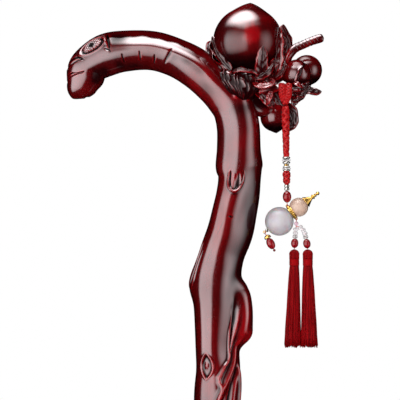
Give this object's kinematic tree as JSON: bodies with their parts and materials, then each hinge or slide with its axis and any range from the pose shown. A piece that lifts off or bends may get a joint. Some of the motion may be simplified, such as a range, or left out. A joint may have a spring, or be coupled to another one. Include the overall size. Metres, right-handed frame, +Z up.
{
  "type": "walking cane",
  "caption": "Knotted carved-wood walking cane with a bent handle, a fruit and leaf head, a hanging bead and tassel charm, and a rubber foot.",
  "frame": {"origin": "centre of the rubber ferrule's sole, on the floor", "axes": "+Z up along the shaft, -X towards the handle's nose, -Y towards the carved front"},
  "size_m": [0.1797, 0.0478, 0.8997],
  "materials": {
    "lacquered_wood": "gloss lacquer",
    "rubber": "matte",
    "steel": "zinc plated",
    "red_cord": "braided satin cord",
    "red_silk": "silky yarn",
    "red_bead": "gloss",
    "silver": "polished",
    "gold": "polished",
    "white_jade": "satin",
    "beige_wood": "satin",
    "pink_glass": "gloss",
    "crystal": "faceted gloss"
  },
  "bodies": {
    "cane": {"carved_cane": "lacquered_wood", "rubber_ferrule": "rubber", "ferrule_washer": "steel"},
    "hitch": {"cord_hitch": "red_cord"},
    "cord": {"braided_cord": "red_cord", "upper_rondelle": "silver", "gold_spacer": "gold", "lower_rondelle": "silver", "cord_knot": "red_cord", "silver_spacer": "silver", "oval_bead": "red_bead", "bead_thread": "red_cord"},
    "gourd": {"waist_ring": "gold", "cone_cap": "gold", "gourd_pin": "gold", "pin_spacer": "silver"},
    "jade": {"jade_bead": "white_jade"},
    "bulb": {"wood_bead": "beige_wood"},
    "tail": {"tail_cap": "gold", "tail_bead": "red_bead", "tail_thread": "red_cord"},
    "strands": {"pink_bead": "pink_glass", "strand_thread": "red_cord", "left_crystal_1": "crystal", "left_crystal_2": "crystal", "right_crystal_1": "crystal", "right_crystal_2": "crystal", "right_crystal_3": "crystal", "left_rondelle": "silver", "right_rondelle": "silver", "left_bead": "red_bead", "right_bead": "red_bead"},
    "left_tassel": {"left_tassel_head": "red_silk", "left_tassel_skirt": "red_silk"},
    "right_tassel": {"right_tassel_head": "red_silk", "right_tassel_skirt": "red_silk"}
  },
  "joints": [
    {"name": "charm_swing", "type": "hinge", "parent": "cane", "child": "hitch", "pos_m": [0.0488, -0.008, 0.8392], "axis": [1, 0, 0], "range_deg": [-60, 3]},
    {"name": "charm_sway", "type": "hinge", "parent": "hitch", "child": "cord", "pos_m": [0.04896, -0.008, 0.8301], "axis": [0, 1, 0], "range_deg": [-30, 1.5]},
    {"name": "gourd_tilt", "type": "hinge", "parent": "cord", "child": "gourd", "pos_m": [0.05022, -0.008, 0.75801], "axis": [0, 1, 0], "range_deg": [-4, 8]},
    {"name": "jade_bead_spin", "type": "hinge", "parent": "gourd", "child": "jade", "pos_m": [0.04474, -0.008, 0.74736], "axis": [0.809, 0, 0.5878], "continuous": true},
    {"name": "wood_bead_spin", "type": "hinge", "parent": "gourd", "child": "bulb", "pos_m": [0.05829, -0.008, 0.75721], "axis": [0.809, 0, 0.5878], "continuous": true},
    {"name": "tail_swing", "type": "hinge", "parent": "gourd", "child": "tail", "pos_m": [0.03447, -0.008, 0.7399], "axis": [0, 1, 0], "range_deg": [0, 20]},
    {"name": "strand_sway", "type": "hinge", "parent": "gourd", "child": "strands", "pos_m": [0.05656, -0.008, 0.74928], "axis": [0, 1, 0], "range_deg": [-25, 3]},
    {"name": "left_tassel_swing", "type": "hinge", "parent": "strands", "child": "left_tassel", "pos_m": [0.05516, -0.008, 0.72793], "axis": [1, 0, 0], "range_deg": [-30, 30]},
    {"name": "right_tassel_swing", "type": "hinge", "parent": "strands", "child": "right_tassel", "pos_m": [0.06456, -0.008, 0.72793], "axis": [1, 0, 0], "range_deg": [-30, 30]}
  ]
}
